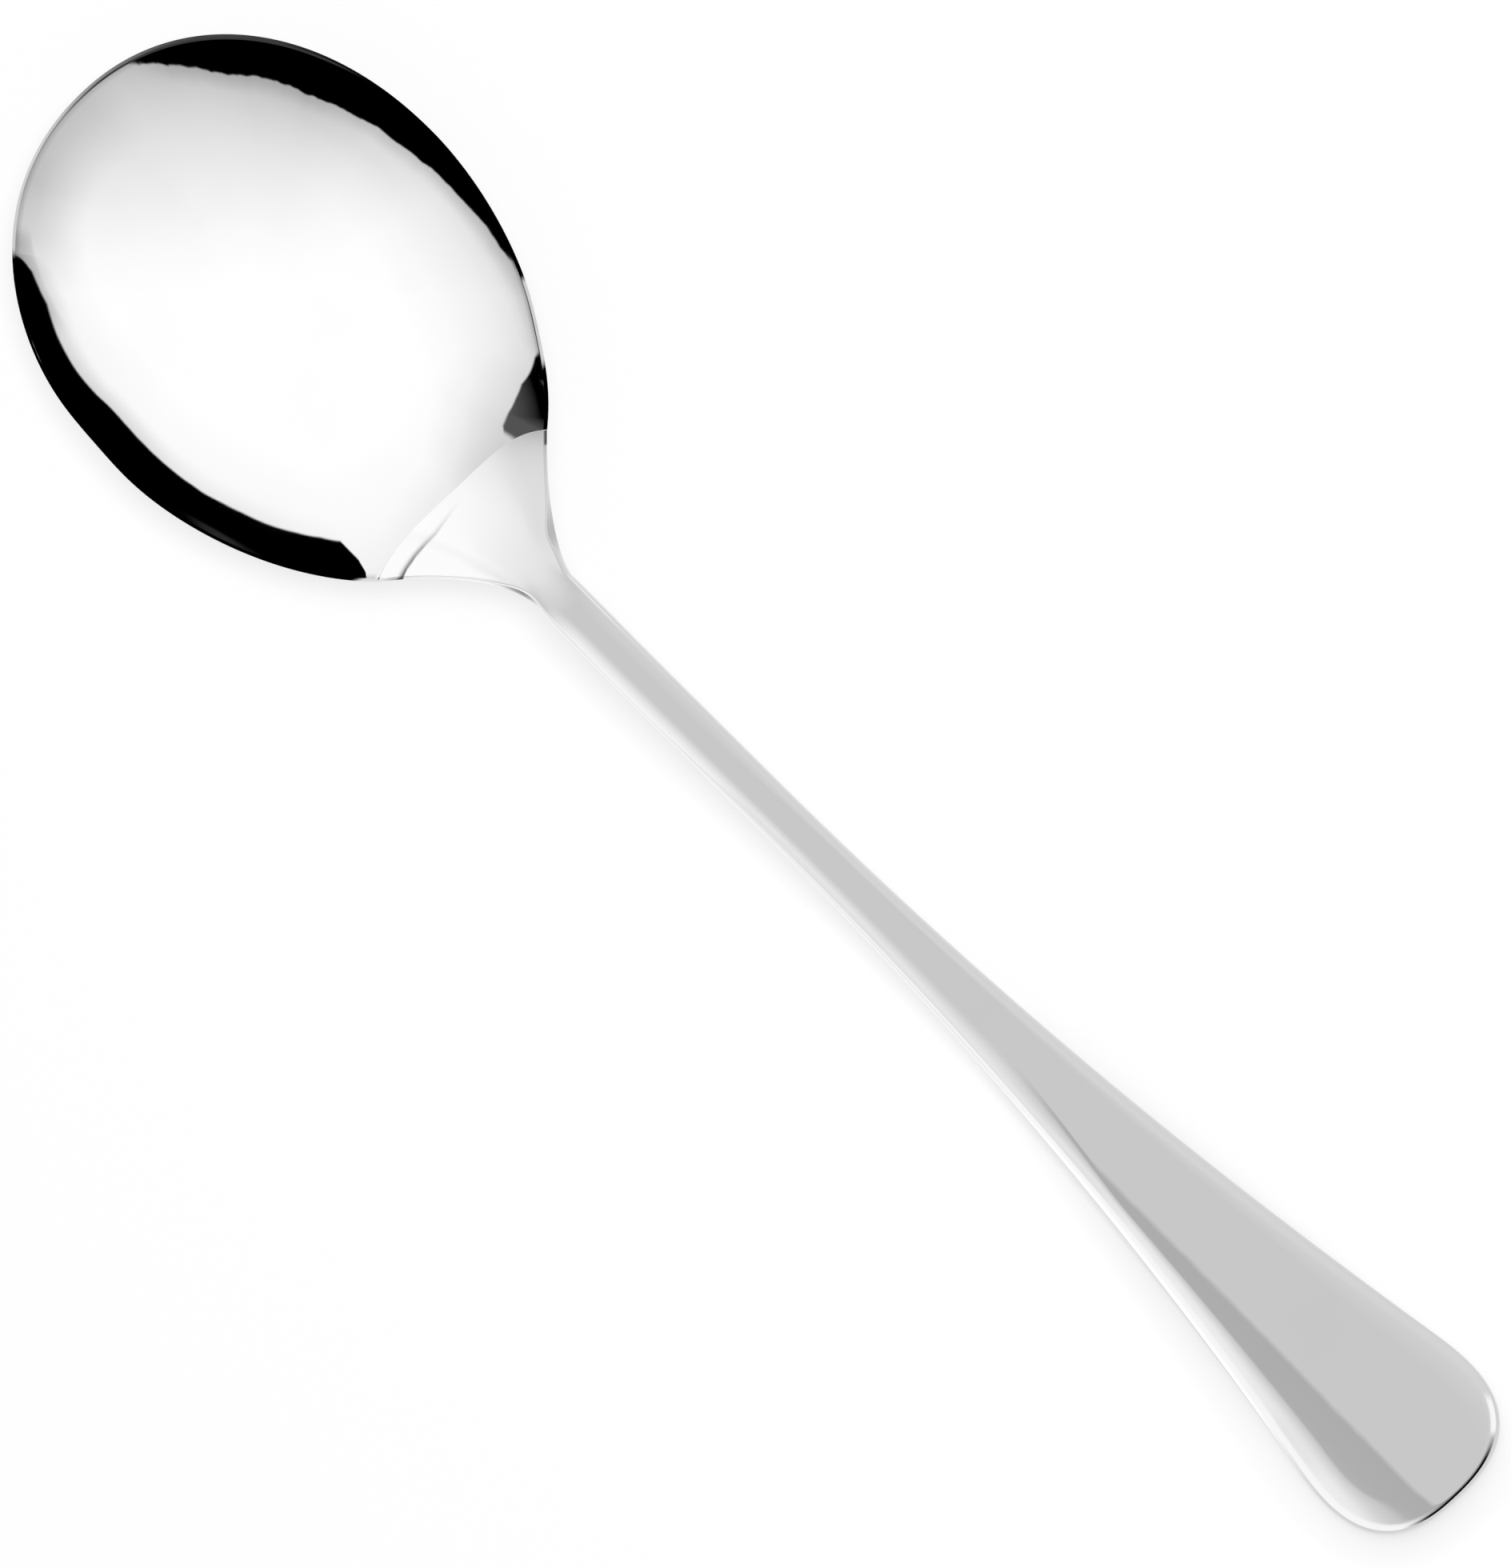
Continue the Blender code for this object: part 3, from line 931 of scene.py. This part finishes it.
def make_tent(name, reach, piece, radiance, see_through):
    """A dome whose glow is a function of direction, seen only in one piece's reflections. The inner of two
    tents lets the other piece see through it."""
    rows = np.linspace(0.0, math.pi, TENT_RINGS + 1)[1:-1]
    turns = np.linspace(0.0, 2 * math.pi, 2 * TENT_RINGS, endpoint=False)
    round_x, round_y = np.cos(turns), np.sin(turns)
    rings = np.array([points(np.sin(row) * round_x, np.sin(row) * round_y, np.cos(row)) for row in rows])
    tent = loft(name, rings * reach, [(0, (0.0, 0.0, reach)), (-1, (0.0, 0.0, -reach))], [])
    material, start = new_tree(name + "_cloth")
    place = start.node("ShaderNodeNewGeometry", {}, {}, "Position")
    way = start.node("ShaderNodeVectorMath", {"operation": "NORMALIZE"}, {0: place})
    x, y, z = (start.node("ShaderNodeSeparateXYZ", {}, {0: way}, axis) for axis in "XYZ")
    surface = start.node("ShaderNodeEmission", {}, {"Color": radiance(x, y, z), "Strength": TENT_LEVEL})
    if see_through:
        clear = start.node("ShaderNodeBsdfTransparent", {}, {})
        surface = start.node("ShaderNodeAddShader", {}, {0: surface, 1: clear})
    start.node("ShaderNodeOutputMaterial", {}, {"Surface": surface})
    material.cycles.emission_sampling = "NONE"
    tent.data.materials.append(material)
    tent.visible_camera = False
    tent.visible_diffuse = False
    tent.visible_shadow = False
    lit = bpy.data.collections.new(name + "_lights")
    lit.objects.link(piece)
    tent.light_linking.receiver_collection = lit


print("tents are domes of", TENT_RINGS, "rings")

# %% [markdown]
# ## The cloth over the bowl
#
# The tent over the bowl is brightest overhead and dims towards the handle. Its light is written by two
# angles, the compass angle round the spoon and the tilt from straight overhead, because a mirror only asks
# where a ray goes. Chains of straight lines through a few stops give soft changes without any picture, and a
# product of two such chains keeps a change to one side of the tent.

# %% Bowl cloth


def directions(x, y, z):
    """Compass angle from +X towards +Y, and tilt from straight overhead, both in degrees."""
    return y.degrees_from(x), z.math("ARCCOSINE", z) * math.degrees(1.0)


def bowl_cloth(compass, tilt):
    """The cloth's light, dimmer towards the handle and dimmest low down beside its far edge."""
    cloth = tilt.curve([(48, 1.66), (61, 1.58), (73, 1.46), (79, 1.34), (86, 1.0)])
    shade = compass.curve([
        (-122, 0.0), (-105, 0.06), (-90, 0.33), (-75, 0.70), (-60, 0.90), (-35, 1.0),
        (-10, 0.93), (15, 0.62), (30, 0.38), (45, 0.15), (58, 0.0)])
    depth = tilt.curve([(8, 0.0), (21, 0.08), (33, 0.21), (45, 0.37), (55, 0.52), (61, 0.64), (70, 0.90)])
    low_shade = tilt.curve([(47, 0.0), (50, 0.1), (54, 0.27), (57, 0.38), (60, 0.42)])
    low_side = compass.curve([(-20, 0.0), (5, 0.6), (20, 1.0), (40, 0.9), (58, 0.25), (75, 0.15), (90, 0.0)])
    wedge = 0.2 * tilt.step(57.9, 58.7) + tilt.curve([(58.5, 0.0), (61, 0.25)])
    wedge_side = compass.step(35.0, 43.0) * compass.step(72.0, 62.0)
    return cloth - shade * depth - low_shade * low_side - wedge * wedge_side


print("the bowl's cloth changes with compass angle and tilt")

# %% [markdown]
# ## Cards round the bowl
#
# Three dark cards stand low round the bowl: a long one on the far side, one on the near side whose top edge
# slopes down and was cut unevenly, and a short one beside the tip that is grey in places. They make the dark
# bands along the rim. Each has its top edge as tilt by compass angle. Just above an edge the cloth dims, and
# low down two gaps let light through.

# %% Bowl cards
CARD_BLUR = 0.3
CARD_CUT = 1.2
FAR_CARD_TOP = [
    (43.5, 95), (46, 61.6), (48.5, 60.4), (51, 59.6), (61, 59.5), (71, 61.5), (90, 64.6), (114, 65.9),
    (126, 65.3), (140, 63.8), (147, 63.8), (152, 67.2), (153.5, 69.5), (154, 95)]
NEAR_CARD_TOP = [
    (-137, 95.6), (-134, 85.4), (-118, 86.0), (-114, 85.9), (-108, 84.0), (-102, 82.0), (-90, 77.2),
    (-78, 72.0), (-66, 68.8), (-54, 65.0), (-45, 64.4), (-24, 64.6), (-20, 95.6)]
TIP_CARD_TOP = [
    (-180, 76), (-165, 72), (-154, 69.7), (-150, 70.5), (-144, 72.6), (-138, 75.0), (-129, 81.2), (-126, 84),
    (150, 84), (180, 76)]
FAR_GAP_LIGHT = 1.05
NEAR_GAP_LIGHT = 1.2


def behind_cards(compass, tilt, light):
    """What is left of the cloth's light with the cards in front of it."""
    waves = compass.node("ShaderNodeTexNoise", {"noise_dimensions": "1D"}, {
        "W": compass, "Scale": 0.25, "Detail": 2.0})
    far = tilt - compass.curve(FAR_CARD_TOP)
    near = tilt + CARD_CUT * waves - compass.curve(NEAR_CARD_TOP)
    tip = tilt - compass.curve(TIP_CARD_TOP)
    far_dim = far.step(-5.0, 0.0) * compass.curve([(30, 0.0), (40, 0.2), (90, 0.25), (110, 0.1), (150, 0.0)])
    near_dim = 0.2 * near.step(-5.0, 0.0) * compass.step(-26.0, -40.0)
    tip_dim = tip.curve([(-18, 0.0), (-10, 0.09), (-5, 0.2), (0, 0.3)]) * compass.curve([
        (-180, 0.9), (-165, 1.2), (-150, 0.75), (-135, 0.6), (-122, 0.0), (150, 0.0), (180, 0.9)])
    far_card, near_card, tip_card = (card.step(-CARD_BLUR, CARD_BLUR) for card in (far, near, tip))
    light = light * (1.0 - far_dim) * (1.0 - tip_dim) * (1.0 - near_dim) * (1.0 - far_card.most(near_card))
    tip_grey = tilt.curve([(70, 0.15), (74, 0.08), (78, 0.0)])
    tip_grey = tip_grey.most(compass.curve([(-150, 0.14), (-146, 0.0)]))
    tip_side = compass.step(-156.5, -154.5) * compass.step(-123.0, -126.5)
    far_gap = compass.step(60.8, 61.8) * compass.step(69.5, 67.5) * tilt.step(66.3, 67.2)
    near_gap = compass.step(-65.0, -64.0) * compass.step(-50.0, -54.0) * tilt.step(77.0, 79.0)
    light = light.towards(tip_grey, tip_card * tip_side)
    return light.towards(FAR_GAP_LIGHT, far_gap).towards(NEAR_GAP_LIGHT, near_gap)


print("cards with", len(FAR_CARD_TOP), len(NEAR_CARD_TOP), "and", len(TIP_CARD_TOP), "stops along their tops")

# %% [markdown]
# ## The skirt and the bowl's tent
#
# The rim's land leans outwards, so round the tip it mirrors what hangs lowest there. That is the skirt of the
# cloth: dark on the far side, light beyond the tip, with a dark line along its top. The tent is the cloth,
# the cards and the skirt in that order. It stands far off, so that every point of the bowl sees the same.

# %% Bowl tent
BOWL_TENT_REACH = 20.0
SKIRT_LINE_LIGHT = 0.07


def with_skirt(compass, tilt, light):
    """The light with the skirt in front of it."""
    skirt = compass.step(110.0, 116.0) + compass.step(-134.0, -136.5)
    skirt = skirt * (tilt - compass.curve([(-140, 80), (112, 71.5)])).step(0.0, 1.0)
    skirt_light = compass.curve([
        (-180, 0.43), (-174, 0.6), (-169, 0.88), (-160, 1.08), (-140, 1.0), (112, 0.005), (120, 0.01),
        (128, 0.03), (135, 0.07), (154, 0.09), (162, 0.13), (175, 0.30), (180, 0.43)])
    line_top = compass.curve([
        (-180, 84.0), (-169, 85.3), (-160, 86.0), (-148, 86.6), (112, 72.0), (136, 76.0), (145, 77.0),
        (154, 79.2), (164, 81.5), (174, 82.8), (180, 84.0)])
    line_side = compass.curve([(-180, 1.0), (-170, 0.6), (-150, 0.5), (-143, 0.0), (112, 0.0), (120, 1.0)])
    skirt_line = (tilt - line_top).step(0.4, -0.4) * line_side
    return light.towards(skirt_light.towards(SKIRT_LINE_LIGHT, skirt_line), skirt)


def bowl_radiance(x, y, z):
    compass, tilt = directions(x, y, z)
    return with_skirt(compass, tilt, behind_cards(compass, tilt, bowl_cloth(compass, tilt)))


make_tent("bowl_tent", BOWL_TENT_REACH, bowl, bowl_radiance, False)

# %% [markdown]
# ## The handle's tent
#
# The handle is nearly flat, so one patch of cloth fills most of it. A darker stripe of cloth runs beside that
# patch and draws the strip along the handle, and beyond it the cloth is bright, which lights the near bevel.
# The fan at the root faces the bowl and sees a lighter cloth. A dark card stands beyond the handle's end and
# makes the thin dark line there, with a gleam beside it. Low down behind the bowl the cloth hangs in shade,
# so the handle doesn't go blank when it is seen from its end. Here the light is written mainly by the lean
# across the handle and the lean along it.

# %% Handle tent
HANDLE_TENT_REACH = 0.3
PATCH_CLOTH = 1.26
FAN_CLOTH = 1.25
FAN_GLOW = 0.38
SEAM_GLOW = 0.9
GLEAM = 0.45
SHADED_CLOTH = 0.75


def shank_cloth(side, along):
    """Cloth over the neck and the flat of the handle, with the darker stripe."""
    cloth = side.curve([
        (-55, 1.54), (-39, 1.50), (-30, 1.36), (-22, 1.17), (-15, 0.98), (-12, 0.96), (3, 0.955),
        (12, 0.995), (22, 1.035), (32, 1.06), (60, 1.09), (90, 1.09)])
    patch = along.step(10.5, 13.5) * along.step(30.0, 26.0) * side.step(-27.0, -32.0)
    stripe = side.curve([(-30, 0.0), (-24, 0.12), (-19.5, 0.16), (-17, 0.29), (-11.5, 0.28), (-10.7, 0.0)])
    return cloth.towards(PATCH_CLOTH, patch) * (1.0 - stripe * along.step(22.5, 25.0))


def fan_cloth(side, along):
    """Cloth over the fan, brightest over its middle and towards the bowl."""
    across = side.curve([
        (-39, -0.1), (-28, 0.05), (-19, 0.5), (-12, 0.85), (4, 1.0), (10, 1.0), (23, 0.35), (29, 0.35),
        (33, 0.65), (38, 1.0)])
    across = across.towards(SEAM_GLOW, along.step(-43.0, -51.0) * side.step(12.0, 20.0))
    lengthwise = along.curve([(-52, 1.05), (-45, 0.92), (-39, 0.45), (-33, 0.15), (-28, -0.15)])
    return FAN_CLOTH + FAN_GLOW * across * lengthwise


def handle_radiance(x, y, z):
    side = y.degrees_from(z)
    along = x.degrees_from(z)
    compass, tilt = directions(x, y, z)
    light = shank_cloth(side, along).towards(fan_cloth(side, along), along.step(-19.0, -31.0))
    end_card = tilt.curve([(50, 0.0), (62, 0.35), (75, 1.0)])
    end_side = compass.step(-27.0, -12.0) * compass.step(28.0, 8.0)
    gleam = GLEAM * along.step(48.0, 58.0) * compass.step(20.0, 26.0) * compass.step(50.0, 42.0)
    hem = tilt - compass.curve([
        (-180, 52), (-158, 53), (-150, 62), (-142, 74), (150, 74), (168, 79), (173, 79), (176.5, 53),
        (180, 52)])
    shaded = hem.step(0.0, 14.0) * compass.step(140.0, 150.0).most(compass.step(-125.0, -135.0))
    light = light * (1.0 - end_card * end_side) + gleam
    return light.towards(SHADED_CLOTH, shaded)


make_tent("handle_tent", HANDLE_TENT_REACH, handle, handle_radiance, True)

# %% [markdown]
# ## Camera
#
# The camera looks almost straight down from 0.9 m, leaning a little towards the far side, and is turned so
# that the spoon runs from the upper left to the lower right. Its angle and scale were fitted to the spoon's
# outline.

# %% Camera
IMAGE_SIZE = (1889, 1960)
AIM = Vector((0.0, 0.0, 0.008))
AIM_PIXEL = (960.6, 1000.9)
VIEW_DISTANCE = 0.9
VIEW_LEAN = Vector((0.031, 0.127, 1.0))
SPOON_TURN = math.radians(45.668)
PIXELS_PER_METRE = 10049.0
SENSOR = 36.0


def make_camera():
    back = VIEW_LEAN.normalized()
    along = Vector((1.0, 0.0, 0.0))
    along = (along - back * along.dot(back)).normalized()
    across = back.cross(along)
    right = along * math.cos(SPOON_TURN) + across * math.sin(SPOON_TURN)
    up = across * math.cos(SPOON_TURN) - along * math.sin(SPOON_TURN)
    off = right * (IMAGE_SIZE[0] / 2 - AIM_PIXEL[0]) - up * (IMAGE_SIZE[1] / 2 - AIM_PIXEL[1])
    data = bpy.data.cameras.new("camera")
    data.sensor_width = SENSOR
    data.lens = SENSOR * PIXELS_PER_METRE * VIEW_DISTANCE / max(IMAGE_SIZE)
    data.clip_end = 100.0
    camera = bpy.data.objects.new("camera", data)
    bpy.context.scene.collection.objects.link(camera)
    camera.matrix_world = Matrix.Translation(AIM + back * VIEW_DISTANCE + off / PIXELS_PER_METRE) @ Matrix(
        (right, up, back)).transposed().to_4x4()
    bpy.context.scene.camera = camera
    return camera


camera = make_camera()
bpy.context.scene.view_settings.view_transform = "Standard"
print("lens", round(camera.data.lens, 1), "mm")
